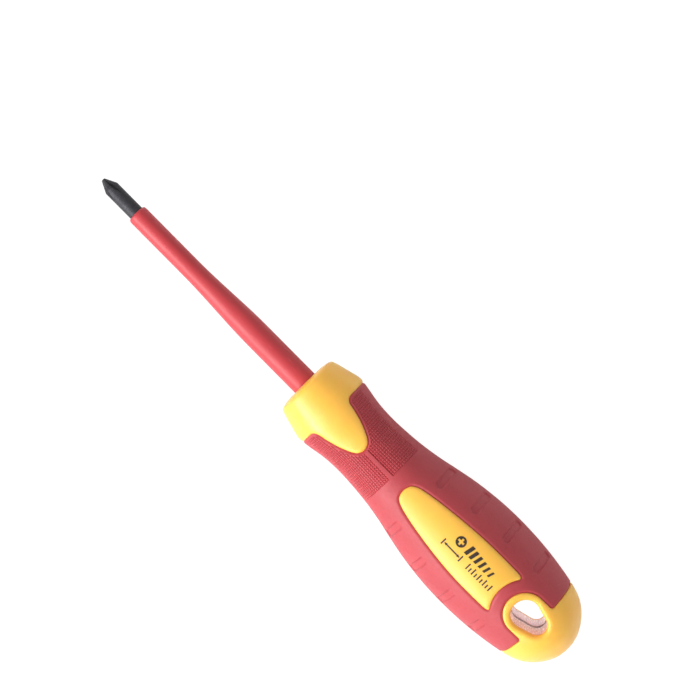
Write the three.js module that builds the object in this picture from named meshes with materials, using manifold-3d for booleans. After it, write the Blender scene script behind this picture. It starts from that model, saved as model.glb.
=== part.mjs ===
// Insulated electrician's screwdriver with a size 1 cross tip on an 80 mm blade.
// Millimetres. X runs along the tool from the blunt end of the tip (x = 0) to the tail,
// Z points out of the label face, and the hang hole goes through the handle along Z.

import * as THREE from 'three';
import { mergeVertices } from 'three/addons/utils/BufferGeometryUtils.js';
import Module from 'manifold-3d';

const wasm = await Module();
wasm.setup();

// ---------------------------------------------------------------- driving dimensions

const SIDES = 40;                   // facets round every turned piece
const ARC_STEPS = 7;                // half the facets of each arc in a plan-view outline
const SPLINE_STEPS = 3;             // facets between two points of a curved outline
const SKIN_STEPS = 28;              // rings along the outside of the handle
const CORE_STEPS = 16;              // rings along the core
const TAPER_STEPS = 8;              // rings along the sleeve's taper
const NOSE_STEPS = 2;               // facets of the sleeve's rounded front edge
const FIT = 0.15;                   // radial gap between pieces moulded over each other
const SEAM = 0.3;                   // gap between pieces that meet edge to edge
const THROUGH = 20;                 // half height of a cutter that goes through the handle

const TIP_FLAT_RADIUS = 0.55;       // blunt end of the cross tip
const TIP_CONE_LENGTH = 3.4;
const BLADE_RADIUS = 2.25;
const TANG_END = 126;               // end of the blade inside the handle
const WING = { start: 112, length: 8, halfWidth: 4.2, halfThickness: 0.7 };

const FLUTE_TURN = 30;              // degrees from the label face to the first flute
const FLUTE_HALF_ANGLE = 46;        // degrees, between the flute's middle plane and its wall
const FLUTE_DEPTH = 4;
const FLUTE_WHEEL_RADIUS = 21;      // the flutes are ground by a wheel with a V-shaped rim
const FLUTE_WHEEL_X = -2.1;         // where the wheel comes closest to the axis
const FLUTE_ROOT_RADIUS = 0.3;      // how close it comes

const SLEEVE_START = 13;
const SLEEVE_END = 92.4;
const SLEEVE_SLIM_RADIUS = 2.97;
const SLEEVE_THICK_RADIUS = 3.85;
const SLEEVE_TAPER_START = 35;
const SLEEVE_TAPER_LENGTH = 26;
const SLEEVE_NOSE = { length: 0.95, drop: 0.55 };   // rounding of the sleeve's front edge

const COLLAR_FRONT = 79.6;
const COLLAR_SEAT_RADIUS = 6.2;     // flat ring on the collar's front face
const COLLAR_END = 90.6;
const TONGUE_TIP = 103.9;
const TONGUE_ROOT = 8.2;            // half width where the tongue leaves the collar
const TONGUE_CORNER = 0.55;         // how far the rounded inner corner bulges

const CORE_FRONT = 82.1;
const WALL = 2.5;                   // thickness of the skin over the core
const PROUD = 0.25;                 // how far the yellow panels stand above the soft grip
const HANDLE_END = 183.2;

const LABEL_FRONT = 119.3;
const LABEL_CORNER = { x: 158.5, y: 6.6 };
const LABEL_REAR_RADIUS = 9.8;      // concave rear edge, concentric with the ring

const TAIL_START = 171;
const TAIL_FILLET = 1.1;
const RING = { x: 166.4, radius: 6 };
const HOLE_FRONT = { x: 166.5, radius: 4.1 };
const HOLE_REAR = { x: 170.9, radius: 2.9 };

// Silhouette of the soft grip and the tail, from the lip behind the collar to the end.
const HANDLE_PROFILE = [
  [90.9, 11.88], [93.1, 11.52], [98.1, 10.7], [103.5, 10.42], [109, 10.65], [114.7, 11.17],
  [120.3, 12.05], [125.8, 13.22], [131.4, 14.36], [136.9, 15.17], [142.5, 15.7], [148.1, 15.9],
  [153.6, 15.8], [159.2, 15.43], [164.7, 14.75], [170.3, 13.77], [174.4, 12.6], [177.2, 11.1],
  [179.7, 8.8], [181.7, 6], [182.8, 3.3], [HANDLE_END, 0],
];

// Collar: flat seat, shallow dome, rounded front corner, cone and rolled rear edge.
const COLLAR_PROFILE = [
  [COLLAR_FRONT, COLLAR_SEAT_RADIUS], [79.95, 8.2], [80.25, 9.15], [80.8, 9.72], [84.2, 10.72],
  [88.3, 11.8], [89.4, 11.95], [90.2, 11.8], [COLLAR_END, 11.4],
];

// The tongue runs on from the collar's widest point down into the neck.
const TONGUE_PROFILE = [
  [87, 11.4], [89.4, 11.95], [92, 11.85], [95, 11.4], [98.1, 10.95], [101, 10.74], [105, 10.68],
];

// Front end of the core, under the collar.
const CORE_PROFILE = [[CORE_FRONT, 7.4], [84.2, 8.2], [89.4, 9.35]];
const CORE_WAIST = 92;              // from here back the core follows the handle's silhouette

// Half widths of the tongue and of the label panel, seen square on to the face.
const TONGUE_SIDE = [[92.4, 6.25], [95, 5.7], [98, 4.85], [100.6, 3.75], [102.4, 2.75], [103.5, 1.55]];
const LABEL_SIDE = [
  [119.6, 1.9], [120.6, 2.95], [122.6, 3.75], [126, 4.5], [131, 5.3], [138.5, 6.2], [147, 6.75],
];

// ---------------------------------------------------------------- helpers

/** Turns a closed three.js geometry into a solid that can be joined and cut. */
function solid(geometry) {
  const bare = geometry.clone();
  bare.deleteAttribute('normal');
  bare.deleteAttribute('uv');
  const merged = mergeVertices(bare);
  const corners = merged.index.array;
  const triangles = [];
  for (let i = 0; i < corners.length; i += 3) {
    const [a, b, c] = corners.slice(i, i + 3);
    if (a !== b && b !== c && c !== a) {
      triangles.push(a, b, c);
    }
  }
  return new wasm.Manifold(new wasm.Mesh({
    numProp: 3,
    vertProperties: Float32Array.from(merged.attributes.position.array),
    triVerts: Uint32Array.from(triangles),
  }));
}

/** A solid of revolution about X from [x, radius] pairs, closed to the axis at both ends. */
function turned(profile) {
  const first = profile[0][0];
  const last = profile[profile.length - 1][0];
  const outline = [[first, 0], ...profile, [last, 0]];
  const points = outline.map(([x, radius]) => new THREE.Vector2(radius, x));
  return solid(new THREE.LatheGeometry(points, SIDES).rotateZ(-Math.PI / 2));
}

/** A plain round rod along X, used as a piece or as a bore. */
function rod(start, end, radius) {
  return turned([[start, radius], [end, radius]]);
}

/** A plan-view outline, extruded along Z through the whole handle. */
function extruded(outline, curveSegments) {
  const geometry = new THREE.ExtrudeGeometry(outline, {
    depth: 2 * THROUGH,
    bevelEnabled: false,
    curveSegments,
  });
  return solid(geometry.translate(0, 0, -THROUGH));
}

/** A block between two stations on X that reaches past the handle on every side. */
function slab(start, end) {
  const box = new THREE.BoxGeometry(end - start, 2 * THROUGH, 2 * THROUGH);
  return solid(box.translate((start + end) / 2, 0, 0));
}

/** The handle's silhouette as [x, radius] pairs, moved inwards along its normal by inset. */
function silhouette(inset, divisions) {
  const knots = HANDLE_PROFILE.map(([x, radius]) => new THREE.Vector2(x, radius));
  const curve = new THREE.SplineCurve(knots);
  const points = [];
  for (let i = 0; i < divisions; i += 1) {
    const point = curve.getPointAt(i / divisions);
    const tangent = curve.getTangentAt(i / divisions);
    points.push([point.x + inset * tangent.y, point.y - inset * tangent.x]);
  }
  return [...points, [HANDLE_END - inset, 0]];
}

/** The two sides of a symmetric outline and the tip between them. */
function mirrored(side, tip) {
  const upper = side.map(([x, y]) => new THREE.Vector2(x, y));
  const lower = side.map(([x, y]) => new THREE.Vector2(x, -y));
  return { upper, lower, tip: new THREE.Vector2(tip, 0) };
}

// ---------------------------------------------------------------- plan-view outlines

/** Yellow tongue behind the collar; grow widens it all round. */
function tongueOutline(grow) {
  const side = TONGUE_SIDE.map(([x, y]) => [x + grow / 2, y + grow]);
  const { upper, lower, tip } = mirrored(side, TONGUE_TIP + grow);
  const root = TONGUE_ROOT + grow;
  const start = COLLAR_END - 2;
  const edge = COLLAR_END + grow;
  const shape = new THREE.Shape();
  shape.moveTo(start, root);
  shape.lineTo(start, -root);
  shape.lineTo(edge, -root);
  shape.quadraticCurveTo(edge, lower[0].y - TONGUE_CORNER, lower[0].x, lower[0].y);
  shape.splineThru([...lower.slice(1), tip, ...upper.reverse()]);
  shape.quadraticCurveTo(edge, -lower[0].y + TONGUE_CORNER, edge, root);
  return shape;
}

/** Label panel: round front end, slowly widening sides and a concave rear edge. */
function labelOutline(grow) {
  const side = LABEL_SIDE.map(([x, y]) => [x - grow / 2, y + grow]);
  const { upper, lower, tip } = mirrored(side, LABEL_FRONT - grow);
  const corner = { x: LABEL_CORNER.x + grow, y: LABEL_CORNER.y + grow };
  const radius = LABEL_REAR_RADIUS - grow;
  const reach = Math.asin(LABEL_CORNER.y / radius);
  const shape = new THREE.Shape();
  shape.moveTo(corner.x, corner.y);
  shape.splineThru([...upper.reverse(), tip, ...lower, new THREE.Vector2(corner.x, -corner.y)]);
  shape.absarc(RING.x, 0, radius, Math.PI + reach, Math.PI - reach, true);
  return shape;
}

/** Tail: the dome's front edge with the ring that surrounds the hang hole. */
function tailOutline(grow) {
  const edge = TAIL_START - grow;
  const half = RING.radius + grow;
  const shape = new THREE.Shape();
  shape.moveTo(HANDLE_END + WALL, -THROUGH);
  shape.lineTo(HANDLE_END + WALL, THROUGH);
  shape.lineTo(edge, THROUGH);
  shape.lineTo(edge, half + TAIL_FILLET);
  shape.quadraticCurveTo(edge, half, edge - TAIL_FILLET, half);
  shape.absarc(RING.x, 0, half, Math.PI / 2, 3 * Math.PI / 2, false);
  shape.lineTo(edge - TAIL_FILLET, -half);
  shape.quadraticCurveTo(edge, -half, edge, -half - TAIL_FILLET);
  shape.lineTo(edge, -THROUGH);
  return shape;
}

/** Egg-shaped hang hole: two arcs joined by their common tangents. */
function holeOutline() {
  const spread = Math.acos((HOLE_FRONT.radius - HOLE_REAR.radius) / (HOLE_REAR.x - HOLE_FRONT.x));
  const shape = new THREE.Shape();
  shape.absarc(HOLE_FRONT.x, 0, HOLE_FRONT.radius, spread, 2 * Math.PI - spread, false);
  shape.absarc(HOLE_REAR.x, 0, HOLE_REAR.radius, -spread, spread, false);
  return shape;
}

// ---------------------------------------------------------------- pieces

/** One flute: a grinding wheel with a V-shaped rim, turned about the blade's axis. */
function fluteWheel(turn) {
  const halfWidth = FLUTE_DEPTH * Math.tan(THREE.MathUtils.degToRad(FLUTE_HALF_ANGLE));
  const hub = FLUTE_WHEEL_RADIUS - FLUTE_DEPTH;
  const rim = [[0, -halfWidth], [hub, -halfWidth], [FLUTE_WHEEL_RADIUS, 0], [hub, halfWidth], [0, halfWidth]];
  const points = rim.map(([radius, y]) => new THREE.Vector2(radius, y));
  const wheel = new THREE.LatheGeometry(points, 3 * SIDES);
  wheel.translate(FLUTE_WHEEL_X, 0, FLUTE_WHEEL_RADIUS + FLUTE_ROOT_RADIUS);
  return solid(wheel.rotateX(turn));
}

/** Steel blade: cross tip, round shank and a tang with two pressed wings that stop it turning. */
function makeBlade() {
  let blade = turned([
    [0, TIP_FLAT_RADIUS],
    [TIP_CONE_LENGTH, BLADE_RADIUS],
    [TANG_END, BLADE_RADIUS],
  ]);
  for (let quarter = 0; quarter < 4; quarter += 1) {
    const turn = quarter * Math.PI / 2 - THREE.MathUtils.degToRad(FLUTE_TURN);
    blade = blade.subtract(fluteWheel(turn));
  }
  return blade.add(tangWings(0));
}

/** The wings on the tang; grow gives the pocket that the core closes round them. */
function tangWings(grow) {
  const wings = new THREE.BoxGeometry(
    WING.length + 2 * grow,
    2 * (WING.halfWidth + grow),
    2 * (WING.halfThickness + grow),
  );
  return solid(wings.translate(WING.start + WING.length / 2, 0, 0));
}

/** Insulating sleeve moulded on the blade: slim in front, thicker towards the handle. */
function makeBladeInsulation() {
  const rise = SLEEVE_THICK_RADIUS - SLEEVE_SLIM_RADIUS;
  const profile = [];
  for (let i = 0; i <= NOSE_STEPS; i += 1) {
    const turn = Math.PI / 2 * i / NOSE_STEPS;
    const x = SLEEVE_START + SLEEVE_NOSE.length * (1 - Math.cos(turn));
    profile.push([x, SLEEVE_SLIM_RADIUS - SLEEVE_NOSE.drop * (1 - Math.sin(turn))]);
  }
  for (let i = 0; i <= TAPER_STEPS; i += 1) {
    const x = SLEEVE_TAPER_START + SLEEVE_TAPER_LENGTH * i / TAPER_STEPS;
    profile.push([x, SLEEVE_SLIM_RADIUS + rise * THREE.MathUtils.smoothstep(i / TAPER_STEPS, 0, 1)]);
  }
  profile.push([SLEEVE_END, SLEEVE_THICK_RADIUS]);
  const bore = rod(SLEEVE_START - 1, SLEEVE_END + 1, BLADE_RADIUS + FIT / 2);
  return turned(profile).subtract(bore);
}

/** The core's outer shape; grow gives the hollow that the outer pieces leave for it. */
function coreBody(grow) {
  const front = CORE_PROFILE.map(([x, radius]) => [x - grow, radius + grow]);
  const rear = silhouette(WALL - grow, CORE_STEPS).filter(([x]) => x > CORE_WAIST);
  return turned([...front, ...rear]);
}

/** Hard core moulded round the tang, with the hang hole through its rear end. */
function makeHandleCore() {
  return coreBody(0)
    .subtract(rod(CORE_FRONT - 1, SLEEVE_END + SEAM, SLEEVE_THICK_RADIUS + FIT))
    .subtract(rod(SLEEVE_END, TANG_END + SEAM, BLADE_RADIUS + FIT))
    .subtract(tangWings(SEAM))
    .subtract(extruded(holeOutline(), ARC_STEPS));
}

/** Front collar that stops the fingers, with a tongue on each face of the neck. */
function makeFrontCollar(hollow) {
  const ring = turned(COLLAR_PROFILE);
  const tongues = turned(TONGUE_PROFILE).intersect(extruded(tongueOutline(0), SPLINE_STEPS));
  return ring
    .add(tongues)
    .subtract(hollow)
    .subtract(rod(COLLAR_FRONT - 1, SLEEVE_END, SLEEVE_THICK_RADIUS + FIT));
}

/** Yellow panel let into the grip; side is +1 for the label face and -1 for the back. */
function makeLabelPanel(side, proudSkin, hollow) {
  const bothFaces = extruded(labelOutline(0), SPLINE_STEPS);
  const oneFace = new THREE.BoxGeometry(2 * HANDLE_END, 2 * THROUGH, THROUGH);
  return proudSkin
    .intersect(bothFaces)
    .intersect(solid(oneFace.translate(0, 0, side * THROUGH / 2)))
    .subtract(hollow);
}

/** Domed tail that runs forward as a ring round the hang hole on both faces. */
function makeTailCap(skin, hollow) {
  return skin
    .intersect(extruded(tailOutline(0), ARC_STEPS))
    .subtract(hollow)
    .subtract(extruded(holeOutline(), ARC_STEPS));
}

/** Soft grip: one moulded skin with windows for the tongues, the panels and the ring. */
function makeGripSleeve(skin, hollow) {
  return skin
    .intersect(slab(COLLAR_END + SEAM, TAIL_START))
    .subtract(hollow)
    .subtract(extruded(tongueOutline(SEAM), SPLINE_STEPS))
    .subtract(extruded(labelOutline(SEAM), SPLINE_STEPS))
    .subtract(extruded(tailOutline(SEAM), ARC_STEPS));
}

// ---------------------------------------------------------------- assembly

/** Wraps a finished solid as a named mesh with its own material. */
function part(name, shape, color, roughness, metalness = 0) {
  const { vertProperties, triVerts } = shape.getMesh();
  const geometry = new THREE.BufferGeometry();
  geometry.setAttribute('position', new THREE.BufferAttribute(vertProperties, 3));
  geometry.setIndex(new THREE.BufferAttribute(triVerts, 1));
  const material = new THREE.MeshStandardMaterial({ color, roughness, metalness, flatShading: true });
  const mesh = new THREE.Mesh(geometry, material);
  mesh.name = name;
  return mesh;
}

const STEEL = 0x3a3a3f;
const RED = 0xd2464f;
const YELLOW = 0xf8c640;
const CLEAR = 0xd9c3c3;

const hollow = coreBody(FIT);
const skin = turned(silhouette(0, SKIN_STEPS));
const proudSkin = turned(silhouette(-PROUD, SKIN_STEPS));

const group = new THREE.Group();
group.add(
  part('blade', makeBlade(), STEEL, 0.4, 0.9),
  part('blade_insulation', makeBladeInsulation(), RED, 0.4),
  part('handle_core', makeHandleCore(), CLEAR, 0.2),
  part('front_collar', makeFrontCollar(hollow), YELLOW, 0.35),
  part('label_panel_front', makeLabelPanel(1, proudSkin, hollow), YELLOW, 0.35),
  part('label_panel_back', makeLabelPanel(-1, proudSkin, hollow), YELLOW, 0.35),
  part('tail_cap', makeTailCap(skin, hollow), YELLOW, 0.35),
  part('grip_sleeve', makeGripSleeve(skin, hollow), RED, 0.7),
);

export default group;
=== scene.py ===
"""Looks of an insulated screwdriver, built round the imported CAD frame.

Lengths are millimetres until a mesh is made; meshes are in metres. X runs from the tip to the tail
and Z points out of the label face, as in the frame. A point on the handle is (u, angle): u is the
arc length along a turned silhouette, and angle is measured from the label face. The skins of the
handle are meshed on their front half and mirrored to the back.
"""

import math

import bmesh
import bpy
import numpy as np
from mathutils import Matrix, Vector
from mathutils.geometry import delaunay_2d_cdt
from mathutils.kdtree import KDTree


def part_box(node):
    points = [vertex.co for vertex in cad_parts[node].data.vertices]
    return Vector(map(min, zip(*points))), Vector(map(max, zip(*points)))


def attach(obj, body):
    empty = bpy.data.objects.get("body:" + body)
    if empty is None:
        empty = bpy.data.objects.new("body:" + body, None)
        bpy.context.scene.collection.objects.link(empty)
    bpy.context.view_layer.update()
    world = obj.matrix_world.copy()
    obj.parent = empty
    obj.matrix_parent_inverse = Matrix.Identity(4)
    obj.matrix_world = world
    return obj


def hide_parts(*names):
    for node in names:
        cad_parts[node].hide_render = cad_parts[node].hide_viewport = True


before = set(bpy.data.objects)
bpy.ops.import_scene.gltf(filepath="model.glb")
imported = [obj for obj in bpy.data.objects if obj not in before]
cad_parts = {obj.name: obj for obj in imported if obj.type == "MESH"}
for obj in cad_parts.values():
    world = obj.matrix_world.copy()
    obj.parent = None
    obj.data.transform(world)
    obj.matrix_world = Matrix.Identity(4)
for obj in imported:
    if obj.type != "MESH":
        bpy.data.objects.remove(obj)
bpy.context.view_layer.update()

METRE = 1000.0
QUARTER = math.pi / 2


def corner(node, high):
    """The lowest (0) or highest (1) corner of a CAD node, in millimetres."""
    return np.array(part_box(node)[high]) * METRE


# ---- dimensions

HANDLE_END = corner("tail_cap", 1)[0]
COLLAR_FRONT = corner("front_collar", 0)[0]
TONGUE_TIP = corner("front_collar", 1)[0] + 0.15
GRIP_FRONT = corner("grip_sleeve", 0)[0]
GRIP_REAR = corner("grip_sleeve", 1)[0]
LABEL_FRONT = corner("label_panel_front", 0)[0] - 0.15
CORE_FRONT = corner("handle_core", 0)[0]
SLEEVE_START = corner("blade_insulation", 0)[0]
SLEEVE_END, _, SLEEVE_THICK = corner("blade_insulation", 1)
BLADE_END, WING_HALF_WIDTH, BLADE_RADIUS = corner("blade", 1)

HAIR = 0.02  # the skins stay this far inside the CAD surface
SEAM = 0.03  # open gap between neighbouring skins
PROUD = 0.1  # the label panels stand above the soft grip
SKIN = 2.2  # thickness of the outer skins
CORE_DEPTH = 2.45  # the core's surface below the skin
COLLAR_SEAM = GRIP_FRONT - 0.15
TAIL_SEAM = GRIP_REAR + 0.15

HANDLE_KNOTS = [
    (88.7, 12.3), (90.9, 11.88), (93.1, 11.52), (98.1, 10.7), (103.5, 10.42), (109, 10.65),
    (114.7, 11.17), (120.3, 12.05), (125.8, 13.22), (131.4, 14.36), (136.9, 15.17), (142.5, 15.7),
    (148.1, 15.9), (153.6, 15.8), (159.2, 15.43), (164.7, 14.75), (170.3, 13.77), (174.4, 12.6),
    (177.2, 11.1), (179.7, 8.8), (181.7, 6.0), (182.8, 3.3), (HANDLE_END, 0),
]
COLLAR_BORE = SLEEVE_THICK + 0.1
COLLAR_FACE = [(COLLAR_FRONT, COLLAR_BORE), (COLLAR_FRONT, 6.1)]
COLLAR_BACK = [
    (COLLAR_FRONT, 6.2), (79.95, 8.2), (80.25, 9.1), (80.95, 9.8), (84.2, 10.74), (88.0, 11.72),
    (89.5, 11.95), (92, 11.85), (95, 11.42), (98.1, 10.95), (101, 10.74), (105.5, 10.68),
]
COLLAR_LINING = [(81.8, COLLAR_BORE), (81.8, 7.7), (84.2, 8.5), (89.4, 9.7), (105.5, 8.5)]
COLLAR_LINING_U = [0, 5.0, 7.5, 12.6]  # arc lengths of the lining's first points
TONGUE_SIDE = [(92.4, 6.25), (95, 5.7), (98, 4.85), (100.6, 3.8), (102.4, 2.85), (103.5, 1.8)]
TONGUE_ROOT = 8.2
TONGUE_BULGE = 0.55
LABEL_SIDE = [
    (119.6, 1.9), (120.6, 3.0), (122.6, 3.85), (126, 4.6), (131, 5.4), (138.5, 6.3), (147, 6.85),
]
LABEL_CORNER = (158.4, 6.8)
LABEL_CORNER_SIZE = 1.6
LABEL_REAR_RADIUS = 9.85
RING_X = 166.4
RING_RADIUS = 6.15
RING_FILLET = 1.0
HOLE_FRONT = (166.5, 4.1)  # centre and radius of the egg's two arcs
HOLE_REAR = (170.9, 2.9)

# Edges as (width along the surface, depth, fullness); 1 is a plain bevel and 2 is fully round.
EDGE_COLLAR = (0.8, 0.42, 1.6)
EDGE_PANEL = (0.7, 0.36, 1.5)
EDGE_GRIP = (0.65, 0.45, 1.1)
EDGE_TAIL = (0.5, 0.4, 2.0)
EDGE_HOLE = (1.2, 1.2, 2.0)

PAD_END = 114.4  # the raised grid stops here
STUD_PITCH = 0.77  # along the axis
STUDS_ROUND = 88  # columns of studs round the neck
STUD_HEIGHT = 0.2
STUDS_FADE = (58, 70)  # degrees from the label face between which the studs die away
RIB_HALF_WIDTH = 0.9  # in columns of studs
RAIL_DEPTH = 1.8  # the groove on the rib's +Y side is this many times as deep
SLOT_X = [125.25, 136.75, 148.35, 159.95]
SLOT_ANGLES = [(33, 79), (37, 80), (38, 80), (39, 80)]  # degrees from the label face
SLOT_HALF_WIDTH = 1.35
SLOT_DEPTH = 0.5
SLOT_SLOPE = 0.45

# Distances between mesh points.
SAMPLES = 4  # to one stud
GRIP_SPACING = 0.32
SKIN_SPACING = 0.5
SEAM_SPACING = 0.3
TONGUE_SPACING = 0.25
LINING_SPACING = 2.0
GRID_TWIST = 0.13  # part of a cell; keeps mesh points from mirroring each other at 45 degrees


# ---- curves

def spline(knots, steps=12, round_end=False):
    """Catmull-Rom curve through the knots; round_end makes it meet the axis squarely."""
    points = np.array(knots, float)
    after = points[-2] * (1, -1) if round_end else points[-1]
    padded = np.vstack([points[0], points, after])
    t = np.linspace(0, 1, steps, endpoint=False)[:, None]
    rows = []
    for a, b, c, d in zip(padded, padded[1:], padded[2:], padded[3:]):
        cubic = (3 * b - a - 3 * c + d) * t**3
        square = (2 * a - 5 * b + 4 * c - d) * t**2
        rows.append(0.5 * (2 * b + (c - a) * t + square + cubic))
    return np.vstack([*rows, points[-1]])


def arc(centre, radius, start, end, steps=48):
    """Points on an arc in the plane, from angle start to angle end."""
    turn = np.linspace(start, end, steps)
    return np.column_stack([centre[0] + radius * np.cos(turn), centre[1] + radius * np.sin(turn)])


def bend(start, control, end, steps=8):
    """A quadratic curve that rounds the corner at control."""
    t = np.linspace(0, 1, steps)[:, None]
    start, control, end = np.array(start), np.array(control), np.array(end)
    return (1 - t)**2 * start + 2 * t * (1 - t) * control + t**2 * end


def ease(t):
    t = np.clip(t, 0, 1)
    return t * t * (3 - 2 * t)


def path_length(points):
    return np.concatenate([[0], np.cumsum(np.linalg.norm(np.diff(points, axis=0), axis=1))])


def around(x, radius, angle):
    """Points of a turned surface, at angles from the label face."""
    return np.stack(np.broadcast_arrays(x, radius * np.sin(angle), radius * np.cos(angle)), axis=-1)


def resample(points, spacing, loop=False):
    """The same path with evenly spaced points; a loop leaves out its repeated last point."""
    points = np.asarray(points, float)
    if loop:
        points = np.vstack([points, points[0]])
    length = path_length(points)
    at = np.linspace(0, length[-1], max(8, round(length[-1] / spacing)) + 1)
    path = np.column_stack([np.interp(at, length, points[:, k]) for k in range(2)])
    return path[:-1] if loop else path


class Silhouette:
    """A turned outline in the (x, radius) plane, followed by its arc length u."""

    def __init__(self, points, inset, lining=None):
        points = np.asarray(points, float)
        keep = np.append(True, np.linalg.norm(np.diff(points, axis=0), axis=1) > 1e-6)
        points = points[keep]
        self.u = path_length(points)
        tangent = np.gradient(points, self.u, axis=0)
        tangent /= np.linalg.norm(tangent, axis=1)[:, None]
        self.normal = np.column_stack([-tangent[:, 1], tangent[:, 0]])
        if points[-1, 1] < 1e-6:
            self.normal[-1] = (1, 0)
        self.points = points - inset * self.normal
        self.lining = self.points - SKIN * self.normal if lining is None else lining
        self.points[:, 1] = np.maximum(self.points[:, 1], 0)
        self.lining[:, 1] = np.maximum(self.lining[:, 1], 0)

    def radius(self, u):
        return np.interp(u, self.u, self.points[:, 1])

    def u_at(self, x):
        return np.interp(x, self.points[:, 0], self.u)

    def section(self, u, depth):
        """(x, radius) at depth below the outline, along its normal."""
        x = np.interp(u, self.u, self.points[:, 0]) - depth * np.interp(u, self.u, self.normal[:, 0])
        radius = self.radius(u) - depth * np.interp(u, self.u, self.normal[:, 1])
        return x, np.maximum(radius, 0)

    def place(self, u, angle, depth):
        return around(*self.section(u, depth), angle)

    def place_lining(self, u, angle):
        x, radius = (np.interp(u, self.u, self.lining[:, k]) for k in range(2))
        return around(x, radius, angle)

    def find(self, line, plan):
        """(u, angle) of the points whose plan position is (x, y) on an (x, radius) line turned round."""
        x, y = plan[:, 0], plan[:, 1]
        u = np.interp(x, line[:, 0], self.u)
        radius = np.interp(u, self.u, line[:, 1])
        return np.column_stack([u, np.arcsin(np.clip(y / radius, -1, 1))])

    def under(self, plan, depth=0):
        return self.find(self.points - depth * self.normal, plan)


def collar_lining(u):
    """The collar's inner surface, spread along the outline's arc length."""
    stops = [*COLLAR_LINING_U, u[-1]]
    lining = np.array(COLLAR_LINING)
    return np.column_stack([np.interp(u, stops, lining[:, k]) for k in range(2)])


HANDLE_OUTLINE = spline(HANDLE_KNOTS, 24, round_end=True)
HANDLE = Silhouette(HANDLE_OUTLINE, HAIR)
PANEL = Silhouette(HANDLE_OUTLINE, -PROUD)
collar_outline = np.vstack([spline(COLLAR_FACE, 4), spline(COLLAR_BACK, 16)])
COLLAR = Silhouette(collar_outline, HAIR, collar_lining(path_length(collar_outline)))


# ---- seams, in the plan view

def tongue_plan():
    """Edge of the tongue, from its lower root round the tip to its upper root."""
    side = [(x, -y) for x, y in TONGUE_SIDE]
    curve = spline([*side, (TONGUE_TIP, 0), *TONGUE_SIDE[::-1]], 8)
    first = TONGUE_SIDE[0]
    fillet = bend((COLLAR_SEAM, TONGUE_ROOT), (COLLAR_SEAM, first[1] + TONGUE_BULGE), first)
    return np.vstack([fillet[:-1] * (1, -1), curve, fillet[::-1][1:]])


def label_plan():
    """Label panel, anticlockwise: round front end, slowly widening sides, concave rear edge."""
    knots = [*LABEL_SIDE, LABEL_CORNER]
    side = spline([*[(x, -y) for x, y in knots[::-1]], (LABEL_FRONT, 0), *knots], 8)
    side = side[side[:, 0] < LABEL_CORNER[0] - LABEL_CORNER_SIZE][::-1]
    reach = math.asin(LABEL_CORNER[1] / LABEL_REAR_RADIUS)
    trim = LABEL_CORNER_SIZE / LABEL_REAR_RADIUS
    rear = arc((RING_X, 0), LABEL_REAR_RADIUS, math.pi + reach - trim, math.pi - reach + trim)
    sharp_corner = (RING_X - LABEL_REAR_RADIUS * math.cos(reach), LABEL_CORNER[1])
    rounded = bend(rear[-1], sharp_corner, side[0])[1:-1]
    return np.vstack([rear, rounded, side, rounded[::-1] * (1, -1)])


def tail_plan():
    """Front edge of the tail, from below to above, with the ring round the hang hole."""
    reach = RING_RADIUS + RING_FILLET
    fillet = bend((TAIL_SEAM, reach), (TAIL_SEAM, RING_RADIUS), (TAIL_SEAM - RING_FILLET, RING_RADIUS))
    ring = arc((RING_X, 0), RING_RADIUS, 1.5 * math.pi, QUARTER)
    return np.vstack([fillet * (1, -1), ring, fillet[::-1]])


def hole_plan():
    """Egg-shaped hang hole, anticlockwise: two arcs joined by their common tangents."""
    spread = math.acos((HOLE_FRONT[1] - HOLE_REAR[1]) / (HOLE_REAR[0] - HOLE_FRONT[0]))
    front = arc((HOLE_FRONT[0], 0), HOLE_FRONT[1], spread, 2 * math.pi - spread)
    rear = arc((HOLE_REAR[0], 0), HOLE_REAR[1], -spread, spread)
    return np.vstack([front, rear])


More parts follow.
